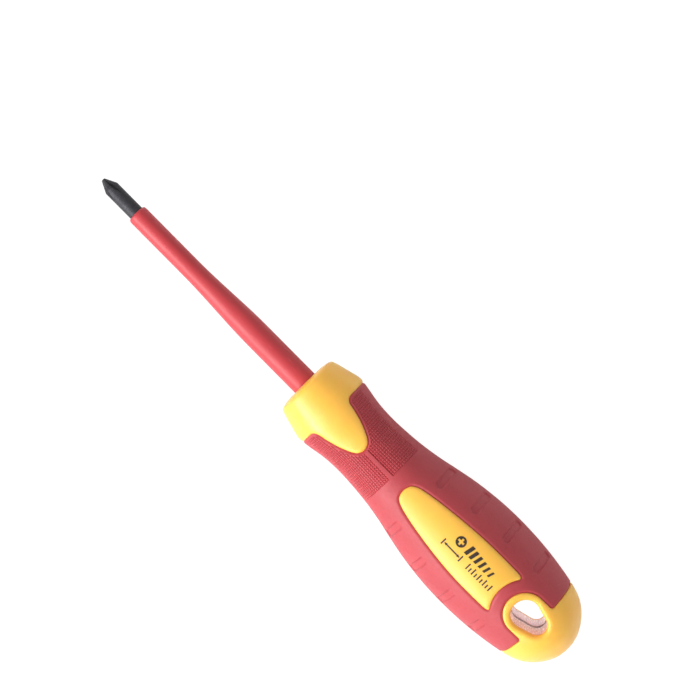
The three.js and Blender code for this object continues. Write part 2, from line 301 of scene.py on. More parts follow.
class Seam:
    """One edge of a skin, as (u, angle) points with the skin on the left-hand side."""

    def __init__(self, form, path, edge, loop=False, hole=False, gap=SEAM / 2):
        self.form = form
        self.path = path
        self.width, self.depth, self.fullness = edge
        self.loop = loop
        self.hole = hole
        self.gap = gap

    @classmethod
    def across(cls, form, x, plan, edge, spacing, way=1):
        """A seam round the front half at x, whose middle part is drawn in the plan view.

        way = -1 runs it backwards, for the skin behind it.
        """
        middle = form.under(resample(plan, spacing))
        u = form.u_at(x)
        count = round((QUARTER - middle[-1, 1]) * form.radius(u) / spacing)
        flank = np.linspace(QUARTER, middle[-1, 1], count, endpoint=False)[::-1]
        upper = np.column_stack([np.full(count, u), flank])
        path = np.vstack([upper[::-1] * (1, -1), middle, upper])
        return cls(form, path[::way], edge)

    @classmethod
    def closed(cls, form, plan, edge, spacing, way=1, hole=False):
        """A seam along an anticlockwise plan, with the skin inside it (way = 1) or outside it (-1).

        A hole's plan is that of its wall, which stands along Z below the rounded rim.
        """
        points = resample(plan, spacing, loop=True)[::way]
        path = form.under(points, edge[1] if hole else 0)
        return cls(form, path, edge, loop=True, hole=hole, gap=0 if hole else SEAM / 2)

    def offset(self, distance):
        """The path moved to its left by a distance along the surface."""
        radius = self.form.radius(self.path[:, 0])
        if self.loop:
            step = np.roll(self.path, -1, axis=0) - np.roll(self.path, 1, axis=0)
        else:
            step = np.gradient(self.path, axis=0)
            step[[0, -1], 0] = 0
        along = np.column_stack([step[:, 0], step[:, 1] * radius])
        along /= np.linalg.norm(along, axis=1)[:, None]
        return self.path + distance * np.column_stack([-along[:, 1], along[:, 0] / radius])

    def drop(self, away):
        """How far the edge falls below the surface at a distance from the top of its wall."""
        inward = 1 - np.clip(away / self.width, 0, 1)
        return self.depth * (1 - (1 - inward**self.fullness)**(1 / self.fullness))

    def rings(self, steps=5):
        """Paths and depths from the top of the edge's wall up to the surface."""
        result = []
        for turn in np.linspace(0, QUARTER, steps):
            away = self.width * (1 - math.cos(turn))
            result.append((self.offset(self.gap + away), self.drop(away)))
        return result

    def foot(self):
        """Where the edge's wall meets the lining."""
        wall = self.offset(self.gap)
        if not self.hole:
            return wall
        top = self.form.place(*wall.T, self.depth)
        return self.form.find(self.form.lining, top)


# ---- meshes

class Shell:
    """Gathers points and faces in millimetres and makes one mesh object of them."""

    def __init__(self):
        self.points = []
        self.faces = []
        self.count = 0

    def add(self, points, faces):
        self.points.append(points)
        self.faces += [[self.count + k for k in face] for face in faces]
        self.count += len(points)

    def strip(self, first, second, loop):
        """A band of quads between two rows of points."""
        n = len(first)
        last = n if loop else n - 1
        quads = [(k, (k + 1) % n, n + (k + 1) % n, n + k) for k in range(last)]
        self.add(np.vstack([first, second]), quads)

    def strips(self, rows):
        """Bands between closed rows of points."""
        for first, second in zip(rows, rows[1:]):
            self.strip(first, second, True)

    def cap(self, row, centre):
        """Closes a row of points with a fan."""
        self.strip(row, np.repeat([centre], len(row), axis=0), True)

    def mirror(self):
        """Adds the back half."""
        back = np.vstack(self.points) * (1, 1, -1)
        self.add(back, [face[::-1] for face in self.faces])
        return self

    def build(self, name, sharp=35):
        """A mesh object with merged points, outward normals and smooth shading."""
        mesh = bpy.data.meshes.new(name)
        mesh.from_pydata((np.vstack(self.points) / METRE).tolist(), [], self.faces)
        shape = bmesh.new()
        shape.from_mesh(mesh)
        bmesh.ops.remove_doubles(shape, verts=shape.verts, dist=1e-6)
        loose = [vertex for vertex in shape.verts if not vertex.link_faces]
        bmesh.ops.delete(shape, geom=loose, context="VERTS")
        bmesh.ops.recalc_face_normals(shape, faces=shape.faces)
        shape.to_mesh(mesh)
        shape.free()
        return make_object(name, mesh, sharp)


def make_object(name, mesh, sharp=35):
    smooth(mesh, sharp)
    return link(name, mesh)


def smooth(mesh, sharp):
    """Smooth shading up to the sharp angle, in degrees."""
    mesh.polygons.foreach_set("use_smooth", [True] * len(mesh.polygons))
    mesh.set_sharp_from_angle(angle=math.radians(sharp))


def link(name, data):
    """A new object in the scene."""
    item = bpy.data.objects.new(name, data)
    bpy.context.scene.collection.objects.link(item)
    return item


def inside(points, outline):
    """Even-odd test of points against a closed outline."""
    result = np.zeros(len(points), bool)
    for a, b in zip(outline, np.roll(outline, -1, axis=0)):
        crosses = (a[1] > points[:, 1]) != (b[1] > points[:, 1])
        if crosses.any():
            slope = (b[0] - a[0]) / (b[1] - a[1])
            result ^= crosses & (points[:, 0] < a[0] + slope * (points[:, 1] - a[1]))
    return result


def triangulate(flat, loops, edges):
    """Delaunay triangles inside the first loop and outside the others.

    Returns the points, the triangles and the index of each point's source, which is -1 for a point
    made where two edges cross.
    """
    vectors = [Vector(p) for p in flat.tolist()]
    placed, _, faces, sources, _, _ = delaunay_2d_cdt(vectors, edges, [], 0, 1e-6)
    source = np.array([s[0] if s else -1 for s in sources])
    points = np.where(source[:, None] >= 0, flat[source], np.array([tuple(p) for p in placed]))
    faces = np.array([f for f in faces if len(f) == 3])
    a, b, c = (points[faces[:, k]] for k in range(3))
    ab, ac = b - a, c - a
    area = np.abs(ab[:, 0] * ac[:, 1] - ac[:, 0] * ab[:, 1])
    longest = np.max([np.sum((p - q)**2, axis=1) for p, q in ((a, b), (b, c), (c, a))], axis=0)
    keep = inside((a + b + c) / 3, flat[loops[0]]) & (area > 1e-4 * longest)
    for loop in loops[1:]:
        keep &= ~inside((a + b + c) / 3, flat[loop])
    return points, faces[keep].tolist(), source


def grid(form, start, end, spacing):
    """Staggered points over the front half between two u stations, without the mirror plane."""
    rows = max(2, round((end - start) / (0.87 * spacing)))
    points = []
    for k, u in enumerate(np.linspace(start, end, rows + 1)):
        count = max(2, round(math.pi * form.radius(u) / spacing))
        angle = -QUARTER + (np.arange(1, count) - 0.5 * (k % 2) - GRID_TWIST) * math.pi / count
        points.append(np.column_stack([np.full(len(angle), u), angle]))
    return np.vstack(points)


def tree_of(points):
    """A search tree for the nearest of some points."""
    tree = KDTree(len(points))
    for index, point in enumerate(points):
        tree.insert(point, index)
    tree.balance()
    return tree


def clear_of(points, paths, form, margin):
    """The points that are more than margin away from every path."""
    def flatten(p):
        return np.column_stack([p[:, 0], p[:, 1] * form.radius(p[:, 0]), np.zeros(len(p))])
    tree = tree_of(flatten(np.vstack(paths)))
    keep = [tree.find(p)[2] > margin for p in flatten(points)]
    return points[np.array(keep)]


class Sheet:
    """Collects the points of one surface of a skin and triangulates them."""

    def __init__(self, form):
        self.form = form
        self.points = np.empty((0, 2))
        self.edges = []

    def add(self, points):
        first = len(self.points)
        self.points = np.vstack([self.points, points])
        return list(range(first, len(self.points)))

    def add_path(self, points, loop=False):
        """Adds a path whose segments stay edges of the mesh."""
        row = self.add(points)
        self.edges += list(zip(row, row[1:]))
        if loop:
            self.edges.append((row[-1], row[0]))
        return row

    def triangles(self, loops):
        """(u, angle) points and triangles; a loop is a list of point numbers."""
        radius = self.form.radius(self.points[:, 0])
        flat = np.column_stack([self.points[:, 0], self.points[:, 1] * radius])
        points, faces, source = triangulate(flat, loops, self.edges)
        angle = points[:, 1] / np.maximum(self.form.radius(points[:, 0]), 1e-6)
        made = np.column_stack([points[:, 0], angle])
        return np.where(source[:, None] >= 0, self.points[source], made), faces


def distance_to(seam, form, points):
    """How far each point lies from the top of the seam's wall, across the surface."""
    wall = seam.rings()[0][0]
    marks = form.place(*wall.T, 0)
    tree = tree_of(marks)
    spots = form.place(*points.T, 0)
    found = [tree.find(spot) for spot in spots]
    nearest = np.array([f[1] for f in found])
    away = np.array([f[2] for f in found])
    for step in (-1, 1):
        other = nearest + step
        other = other % len(marks) if seam.loop else np.clip(other, 0, len(marks) - 1)
        start, along = marks[nearest], marks[other] - marks[nearest]
        length = np.maximum((along**2).sum(axis=1), 1e-12)
        t = np.clip(((spots - start) * along).sum(axis=1) / length, 0, 1)
        away = np.minimum(away, np.linalg.norm(spots - start - t[:, None] * along, axis=1))
    return away


def surface_depth(form, points, seams, relief):
    """Depth of the rounded edges along the seams, and of the relief on the surface between them."""
    depth = np.zeros(len(points))
    open_surface = np.ones(len(points), bool)
    for seam in seams:
        away = distance_to(seam, form, points)
        depth = np.maximum(depth, seam.drop(away))
        open_surface &= away > 1.1 * seam.width
    if relief is not None:
        depth += np.where(open_surface, relief(*points.T), 0)
    return depth


def border(sheet, seam, spacing, is_outer):
    """Adds a seam, or a plain end at a u station, and returns its rows from the wall inwards."""
    if isinstance(seam, Seam) and is_outer:
        return [sheet.add_path(path, seam.loop) for path, _ in seam.rings()]
    if isinstance(seam, Seam):
        return [sheet.add_path(seam.foot(), seam.loop)]
    return [sheet.add_path(end_row(sheet.form, seam, spacing))]


def end_row(form, u, spacing):
    """Points round the half at a u station, or the one point where the silhouette meets the axis."""
    radius = form.radius(u)
    if radius < 0.01:
        return np.array([(u, 0.0)])
    angle = np.linspace(-QUARTER, QUARTER, round(math.pi * radius / spacing) + 1)
    return np.column_stack([np.full(len(angle), u), angle])


def outline_half(sheet, front, rear, spacing, is_outer):
    """Adds both ends of a half sheet and its edges in the mirror plane; returns the whole outline."""
    ahead = border(sheet, front, spacing, is_outer)
    behind = border(sheet, rear, spacing, is_outer)
    if isinstance(front, Seam):
        ahead = [row[::-1] for row in ahead]
    sides = []
    for end, angle in ((0, -QUARTER), (-1, QUARTER)):
        before = [row[end] for row in ahead]
        after = [row[end] for row in behind[::-1]]
        start, stop = sheet.points[before[-1], 0], sheet.points[after[0], 0]
        count = max(2, round((stop - start) / spacing))
        u = np.linspace(start, stop, count + 1)[1:-1]
        between = sheet.add(np.column_stack([u, np.full(len(u), angle)]))
        side = [*before, *between, *after]
        sheet.edges += list(zip(side, side[1:]))
        sides.append(side)
    lower, upper = sides
    return [*ahead[0], *upper[1:-1], *behind[0][::-1], *lower[1:-1][::-1]]


def skin(form, front, rear, windows, fill, spacing, relief=None):
    """The front half of a skin: a rounded outer sheet, walls at its seams and a plain lining.

    front and rear are seams across the half, or u stations where the skin ends in a plain wall or
    on the axis. windows are closed seams, and fill is the outer sheet's loose points. A skin with
    no front is a patch inside its only window.
    """
    shell = Shell()
    ends = [] if front is None else [front, rear]
    seams = [seam for seam in (*ends, *windows) if isinstance(seam, Seam)]
    for is_outer in (True, False):
        sheet = Sheet(form)
        loops = [outline_half(sheet, front, rear, spacing, is_outer)] if ends else []
        loops += [border(sheet, window, spacing, is_outer)[0] for window in windows]
        stations = sheet.points[loops[0], 0]
        step = spacing if is_outer else LINING_SPACING
        loose = fill if is_outer else grid(form, stations.min(), stations.max(), step)
        ahead = loose[:, 0] > stations.min() + 0.3 * step
        behind = loose[:, 0] < stations.max() - 0.3 * step
        taken = [path for seam in seams for path, _ in seam.rings()]
        sheet.add(clear_of(loose[ahead & behind], taken, form, 0.5 * step))
        points, faces = sheet.triangles(loops)
        if is_outer:
            depth = surface_depth(form, points, seams, relief)
            shell.add(form.place(*points.T, depth), faces)
        else:
            shell.add(form.place_lining(*points.T), faces)
    for seam in seams:
        path, depth = seam.rings()[0]
        foot = form.place_lining(*seam.foot().T)
        shell.strip(form.place(*path.T, depth), foot, seam.loop)
    for end in ends:
        if not isinstance(end, Seam) and form.radius(end) > 0.01:
            row = end_row(form, end, spacing)
            shell.strip(form.place(*row.T, 0), form.place_lining(*row.T), False)
    return shell


# ---- the handle's skins

def groove(phase):
    """1 on a whole number and 0 from a quarter of a pitch away."""
    away = np.abs(phase - np.round(phase))
    return np.clip(1 - SAMPLES * away, 0, 1)


def grip_relief(u, angle):
    """Depth of the stud grid's grooves and of the shallow grip slots."""
    x, radius = HANDLE.section(u, 0)
    end = HANDLE.u_at(PAD_END)
    column = (angle + QUARTER) * STUDS_ROUND / (2 * math.pi)
    from_rib = column - STUDS_ROUND / 4
    on_rib = (np.abs(from_rib) < RIB_HALF_WIDTH) & (x > TONGUE_TIP)
    across = np.where(on_rib, 0, groove((end - u) / STUD_PITCH))
    along = np.where(on_rib, 0, groove(column))
    along = np.where(np.abs(from_rib - 1) < 0.5, RAIL_DEPTH * along, along)
    start, stop = np.radians(STUDS_FADE)
    height = STUD_HEIGHT * (1 - ease((np.abs(angle) - start) / (stop - start)))
    depth = np.where(u < end + 0.01, height * np.maximum(across, along), 0)
    for middle, (first, last) in zip(SLOT_X, SLOT_ANGLES):
        reach = SLOT_HALF_WIDTH / radius
        side = np.abs(angle)
        nearest = np.clip(side, math.radians(first) + reach, math.radians(last) - reach)
        away = np.hypot(x - middle, (side - nearest) * radius)
        depth += SLOT_DEPTH * ease((SLOT_HALF_WIDTH - away) / SLOT_SLOPE)
    return depth


def pad_points():
    """Mesh points of the stud grid: each stud and its groove take SAMPLES points each way."""
    step = STUD_PITCH / SAMPLES
    end = HANDLE.u_at(PAD_END)
    u = end - step * np.arange(int((end - HANDLE.u_at(GRIP_FRONT)) / step))
    angle = np.linspace(-QUARTER, QUARTER, STUDS_ROUND // 2 * SAMPLES + 1)[1:-1]
    return np.stack(np.meshgrid(u, angle), axis=-1).reshape(-1, 2)


def make_grip():
    """Soft grip with the raised grid on the neck, shallow slots, and windows for the yellow parts."""
    front = Seam.across(HANDLE, COLLAR_SEAM, tongue_plan(), EDGE_GRIP, TONGUE_SPACING, way=-1)
    rear = Seam.across(HANDLE, TAIL_SEAM, tail_plan(), EDGE_GRIP, SEAM_SPACING)
    window = Seam.closed(HANDLE, label_plan(), EDGE_GRIP, SEAM_SPACING, way=-1)
    belly = grid(HANDLE, HANDLE.u_at(PAD_END) + 0.2, HANDLE.u_at(TAIL_SEAM), GRIP_SPACING)
    fill = np.vstack([pad_points(), belly])
    return skin(HANDLE, front, rear, [window], fill, GRIP_SPACING, grip_relief)


def make_collar():
    """Collar: flat seat, shallow dome, cone and a tongue with rounded edges."""
    rear = Seam.across(COLLAR, COLLAR_SEAM, tongue_plan(), EDGE_COLLAR, SEAM_SPACING)
    fill = grid(COLLAR, 0, COLLAR.u_at(TONGUE_TIP), SKIN_SPACING)
    return skin(COLLAR, 0.0, rear, [], fill, SKIN_SPACING)


def make_tail():
    """Domed tail with the ring round the hang hole."""
    front = Seam.across(HANDLE, TAIL_SEAM, tail_plan(), EDGE_TAIL, SEAM_SPACING, way=-1)
    rim = Seam.closed(HANDLE, hole_plan(), EDGE_HOLE, SEAM_SPACING, way=-1, hole=True)
    fill = grid(HANDLE, HANDLE.u_at(RING_X - RING_RADIUS), HANDLE.u[-1], SKIN_SPACING)
    return skin(HANDLE, front, HANDLE.u[-1], [rim], fill, SKIN_SPACING)


def make_panel():
    """Label panel on the front half; the back one is its mirror image."""
    edge = Seam.closed(PANEL, label_plan(), EDGE_PANEL, SEAM_SPACING)
    fill = grid(PANEL, PANEL.u_at(LABEL_FRONT), PANEL.u_at(LABEL_CORNER[0]), SKIN_SPACING)
    return skin(PANEL, None, None, [edge], fill, SKIN_SPACING)


# ---- turned pieces

def turned(rows, segments=96, loop=False):
    """A solid of revolution from (x, radius) rows; a loop is a ring whose last row meets its first."""
    turn = np.linspace(0, 2 * math.pi, segments, endpoint=False)
    shell = Shell()
    circles = [around(x, radius, turn) for x, radius in rows]
    shell.strips(circles + circles[:1] if loop else circles)
    return shell


SLEEVE_SLIM = 2.97
SLEEVE_NOSE = (0.95, 0.55)  # length and drop of the rounded front edge
SLEEVE_TAPER = (35, 26)  # start and length
SLEEVE_SHY = 0.25  # the front edge is this far behind the CAD's
SLEEVE_LIP = 0.08


def make_sleeve():
    """Insulating sleeve: rounded front edge, slim front and a slow taper to the thick rear."""
    slim, thick = SLEEVE_SLIM - HAIR, SLEEVE_THICK - HAIR
    nose, drop = SLEEVE_NOSE
    bore = BLADE_RADIUS + 0.06
    start, end = SLEEVE_START + SLEEVE_SHY, SLEEVE_END - HAIR
    turn = np.linspace(0, QUARTER, 8)
    front = np.column_stack([start + nose * (1 - np.cos(turn)), slim - drop * (1 - np.sin(turn))])
    x = np.append(np.arange(SLEEVE_START + 2, end, 1.5), end)
    taper = ease((x - SLEEVE_TAPER[0]) / SLEEVE_TAPER[1])
    back = np.column_stack([x, slim + (thick - slim) * taper])
    lip = [(end, bore), (start + SLEEVE_LIP, bore)]
    outline = [(start, bore + SLEEVE_LIP), *front, *back, *lip]
    return turned(outline, loop=True).build("sleeve_tube")


# ---- blade

TIP_FLAT_RADIUS = 0.55
TIP_CONE_LENGTH = 3.4
FLUTE_TURN = math.radians(38)  # from the label face to the first flute
FLUTE_HALF_ANGLE = math.radians(46)
WHEEL_RADIUS = 21
WHEEL_X = -2.1
FLUTE_ROOT_RADIUS = 0.3
FLUTED_LENGTH = 7.6  # the mesh is fine this far
WING_HALF_THICKNESS = 0.7
WING_START, WING_END = 112, 120
WING_SLOPE = 1.6
NOSE_EDGE = (0.06, 0.12)  # length and height of the rounding round the flat
TAIL_EDGE = (1.0, 0.5)  # length and height of the rounding at the tang's end


def smooth_min(a, b, blend):
    h = np.maximum(blend - np.abs(a - b), 0) / blend
    return np.minimum(a, b) - h * h * blend / 4


def flute_radius(x, angle, limit):
    """How far out the steel reaches before it meets the grinding wheel of the nearest flute."""
    turn = (angle - FLUTE_TURN + QUARTER / 2) % QUARTER - QUARTER / 2
    low, high = np.zeros_like(turn + x), np.full_like(turn + x, limit)

    def beyond(r):
        rim = WHEEL_RADIUS - r * np.abs(np.sin(turn)) / math.tan(FLUTE_HALF_ANGLE)
        drop = np.sqrt(np.maximum(rim**2 - (x - WHEEL_X)**2, 0))
        return r * np.cos(turn) - (WHEEL_RADIUS + FLUTE_ROOT_RADIUS) + drop > 0

    cut = beyond(high)
    for _ in range(30):
        middle = (low + high) / 2
        is_beyond = beyond(middle)
        high = np.where(is_beyond, middle, high)
        low = np.where(is_beyond, low, middle)
    return np.where(cut, high, limit)


def blade_stations():
    """Places of the blade's rows, close together at the tip, the wings and the end."""
    tip = np.append([0, 0.02, 0.06], np.arange(0.14, FLUTED_LENGTH, 0.13))
    shank = np.arange(8.4, WING_START - 1.5, 2.5)
    wings = np.arange(WING_START - 1, WING_END + 1.2, 0.5)
    end = [BLADE_END - 1, BLADE_END - 0.6, BLADE_END - 0.2, BLADE_END - HAIR]
    return np.concatenate([tip, shank, wings, end])[:, None]


def bar_radius(x, angle):
    """The bar with its conical tip and rounded ends, before the flutes are ground."""
    limit = BLADE_RADIUS - HAIR
    length, height = NOSE_EDGE
    cone = TIP_FLAT_RADIUS + (BLADE_RADIUS - TIP_FLAT_RADIUS) * x / TIP_CONE_LENGTH
    nose = TIP_FLAT_RADIUS - height + height * np.sqrt(np.clip(x / length, 0, 1))
    nose = np.where(x > length, limit + 1, nose)
    tail = limit - TAIL_EDGE[1] * ease((x - BLADE_END) / TAIL_EDGE[0] + 1)
    body = smooth_min(cone - HAIR, limit + 0 * angle, 0.12)
    return smooth_min(body, np.minimum(nose, tail), 0.02)


def wing_radius(x, angle):
    """The flat bar of the two pressed wings; 0 away from them."""
    half = WING_SLOPE / 2
    swell = ease((x - WING_START + half) / WING_SLOPE) * ease((WING_END + half - x) / WING_SLOPE)
    half_width = (WING_HALF_WIDTH - HAIR) * swell
    with np.errstate(divide="ignore", invalid="ignore"):
        flank = half_width / np.abs(np.sin(angle))
        face = WING_HALF_THICKNESS / np.abs(np.cos(angle))
        wings = smooth_min(flank, face, 0.2)
    return np.where(swell > 0.3, wings, 0)


def make_blade():
    """Blade: ground cross tip, round shank and a tang with two pressed wings."""
    angle = np.linspace(0, 2 * math.pi, 288, endpoint=False)[None, :]
    x = blade_stations()
    ground = smooth_min(bar_radius(x, angle), flute_radius(x, angle, BLADE_RADIUS + 1), 0.1)
    rows = around(np.maximum(x, HAIR / 2), np.maximum(ground, wing_radius(x, angle)), angle)
    shell = Shell()
    shell.strips(rows)
    for row in (rows[0], rows[-1]):
        shell.cap(row, row.mean(axis=0) * (1, 0, 0))
    return shell.build("blade_bar", 28)


# ---- core

PARTING_HALF_WIDTH = 0.6
PARTING_DEPTH = 0.35


def cut(piece, cutter):
    """Takes one closed mesh out of another."""
    modifier = piece.modifiers.new("cut", "BOOLEAN")
    modifier.operation = "DIFFERENCE"
    modifier.solver = "EXACT"
    modifier.object = cutter
    graph = bpy.context.evaluated_depsgraph_get()
    mesh = bpy.data.meshes.new_from_object(piece.evaluated_get(graph))
    piece.modifiers.clear()
    piece.data = mesh
    bpy.data.objects.remove(cutter)


def hole_cutter():
    """Prism of the hang hole that widens by a hair at the core's parting line."""
    plan = resample(hole_plan(), 0.3, loop=True)
    centre = plan.mean(axis=0)
    outward = plan - centre
    outward /= np.linalg.norm(outward, axis=1)[:, None]
    above = [(18, 0), (6, 0), (PARTING_HALF_WIDTH, 0)]
    levels = [*above, (0, PARTING_DEPTH), *[(-z, grow) for z, grow in above[::-1]]]
    rows = [np.column_stack([plan + grow * outward, np.full(len(plan), z)]) for z, grow in levels]
    shell = Shell()
    shell.strips(rows)
    for row in (rows[0], rows[-1]):
        shell.cap(row, (*centre, row[0, 2]))
    return shell.build("hole_cutter")


def wing_pocket():
    """The pocket that the core closes round the tang's wings."""
    gap = 0.3
    extent = (WING_END - WING_START + 2, 2 * WING_HALF_WIDTH, 2 * WING_HALF_THICKNESS)
    size = Vector(extent) + 2 * Vector((gap, gap, gap))
    middle = Vector(((WING_START + WING_END) / 2, 0, 0))
    place = Matrix.Translation(middle / METRE) @ Matrix.Diagonal((*(size / METRE), 1))
    mesh = bpy.data.meshes.new("wing_pocket")
    shape = bmesh.new()
    bmesh.ops.create_cube(shape, size=1, matrix=place)
    bmesh.ops.bevel(shape, geom=shape.edges, offset=0.2 / METRE, segments=2, affect="EDGES")
    shape.to_mesh(mesh)
    shape.free()
    return make_object("wing_pocket", mesh)


def make_core():
    """Hard core moulded round the tang; its wall shows inside the hang hole."""
    shrunk = Silhouette(HANDLE_OUTLINE, CORE_DEPTH).points
    rear = shrunk[(shrunk[:, 0] > 92) & (shrunk[:, 1] > 0.3)][::4]
    front_x, bore_end, sleeve_end = CORE_FRONT + HAIR, BLADE_END + 0.3, SLEEVE_END + 0.2
    bore, pocket = BLADE_RADIUS + 0.1, SLEEVE_THICK + 0.1
    inside_rows = [(bore_end, 0), (bore_end, bore), (sleeve_end, bore), (sleeve_end, pocket)]
    front_rows = [(front_x, pocket), (front_x, 7.2), (front_x + 0.2, 7.4), (84.2, 8.2), (89.4, 9.35)]
    rows = [*inside_rows, *front_rows, *rear, (HANDLE_END - CORE_DEPTH, 0)]
    core = turned(rows, 128).build("core_clear")
    cut(core, hole_cutter())
    cut(core, wing_pocket())
    smooth(core.data, 30)
    return core


# ---- printed mark

INK_HEIGHT = 0.025
INK_SUNK = 0.03
MARK_Y = 1.85  # the bold row's middle
MARK_HEIGHT = 3.0
SCALE_Y = -1.5  # the thin row's middle
SCALE_HEIGHT = 2.0
STROKE = 0.42  # width of the thin row's lines
DISC_X, DISC_RADIUS = 139.9, 1.55
BARS_X, BARS_STEP = 143.2, 1.72
SPAN_X = (136.4, 143.0)  # ends of the dimension line
TICKS_X, TICKS_STEP = 145.9, 1.05


def polygon(*corners):
    return np.array(corners, float)


def bar(x, y, width, height, slant=0.0):
    """A bar centred on (x, y), whose top leans towards the tail by slant."""
    w, h = width / 2, height / 2
    low, high = x - slant, x + slant
    return polygon((low - w, y - h), (low + w, y - h), (high + w, y + h), (high - w, y + h))


def cross(x, y, reach, half):
    """Outline of an upright cross."""
    r, h = reach, half
    quarter = [(r, -h), (r, h), (h, h), (h, r)]
    turned_points = []
    for k in range(4):
        c, s = round(math.cos(k * QUARTER)), round(math.sin(k * QUARTER))
        turned_points += [(x + c * a - s * b, y + s * a + c * b) for a, b in quarter]
    return polygon(*turned_points)


def print_shapes():
    """A generic mark: a cross in a disc with slanted bars, over a dimension line and a scale."""
    disc = arc((DISC_X, MARK_Y), DISC_RADIUS, 0, 2 * math.pi, 49)[:-1]
    shapes = [[disc, cross(DISC_X, MARK_Y, 1.0, 0.3)]]
    for k in range(6):
        height = MARK_HEIGHT - 0.22 * k
        y = MARK_Y - (MARK_HEIGHT - height) / 2
        shapes.append([bar(BARS_X + BARS_STEP * k, y, 1.12 - 0.09 * k, height, 0.3)])
    first, last = SPAN_X
    shapes.append([bar((first + last) / 2, SCALE_Y, last - first - 1.2, STROKE)])
    for x, side in ((first, 1), (last, -1)):
        shapes.append([bar(x, SCALE_Y, STROKE, SCALE_HEIGHT)])
        tip, back, barb = x + 0.3 * side, x + 1.3 * side, 0.42 * side
        shapes.append([polygon((tip, SCALE_Y), (back, SCALE_Y - barb), (back, SCALE_Y + barb))])
    for k in range(9):
        height = SCALE_HEIGHT if k % 2 == 0 else 0.65 * SCALE_HEIGHT
        y = SCALE_Y + (height - SCALE_HEIGHT) / 2
        shapes.append([bar(TICKS_X + TICKS_STEP * k, y, STROKE, height)])
    return shapes


def add_ink(shell, loops):
    """One printed shape: a thin solid that follows the panel's curve."""
    outlines = [keep_corners(loop) for loop in loops]
    low, high = outlines[0].min(axis=0), outlines[0].max(axis=0)
    x, y = (np.arange(low[k] + 0.2, high[k], 0.4) for k in range(2))
    loose = np.stack(np.meshgrid(x, y), axis=-1).reshape(-1, 2)
    loose = loose[inside(loose, outlines[0])]
    gap = np.linalg.norm(loose[:, None, :] - np.vstack(outlines)[None, :, :], axis=2).min(axis=1)
    flat = np.vstack([*outlines, loose[gap > 0.12]])
    rows = []
    for path in outlines:
        first = rows[-1][-1] + 1 if rows else 0
        rows.append(list(range(first, first + len(path))))
    edges = [pair for row in rows for pair in zip(row, row[1:] + row[:1])]
    _, triangles, source = triangulate(flat, rows, edges)
    faces = [[source[k] for k in triangle] for triangle in triangles]
    where = PANEL.under(flat)
    top = PANEL.place(*where.T, -INK_HEIGHT)
    bottom = PANEL.place(*where.T, INK_SUNK)
    shell.add(top, faces)
    shell.add(bottom, [face[::-1] for face in faces])
    for row in rows:
        shell.strip(top[row], bottom[row], True)


def keep_corners(loop):
    """The outline's own corners with evenly spaced points between them."""
    points = []
    for a, b in zip(loop, np.roll(loop, -1, axis=0)):
        count = max(1, round(np.linalg.norm(b - a) / 0.3))
        points += [a + (b - a) * k / count for k in range(count)]
    return np.array(points)


def make_print():
    shell = Shell()
    for loops in print_shapes():
        add_ink(shell, loops)
    return shell.build("panel_print")


def one_side(shell, name, side):
    """The label panel on the face (side = 1) or on the back (side = -1)."""
    copy = Shell()
    copy.add(np.vstack(shell.points) * (1, 1, side), shell.faces)
    return copy.build(name)


# ---- materials

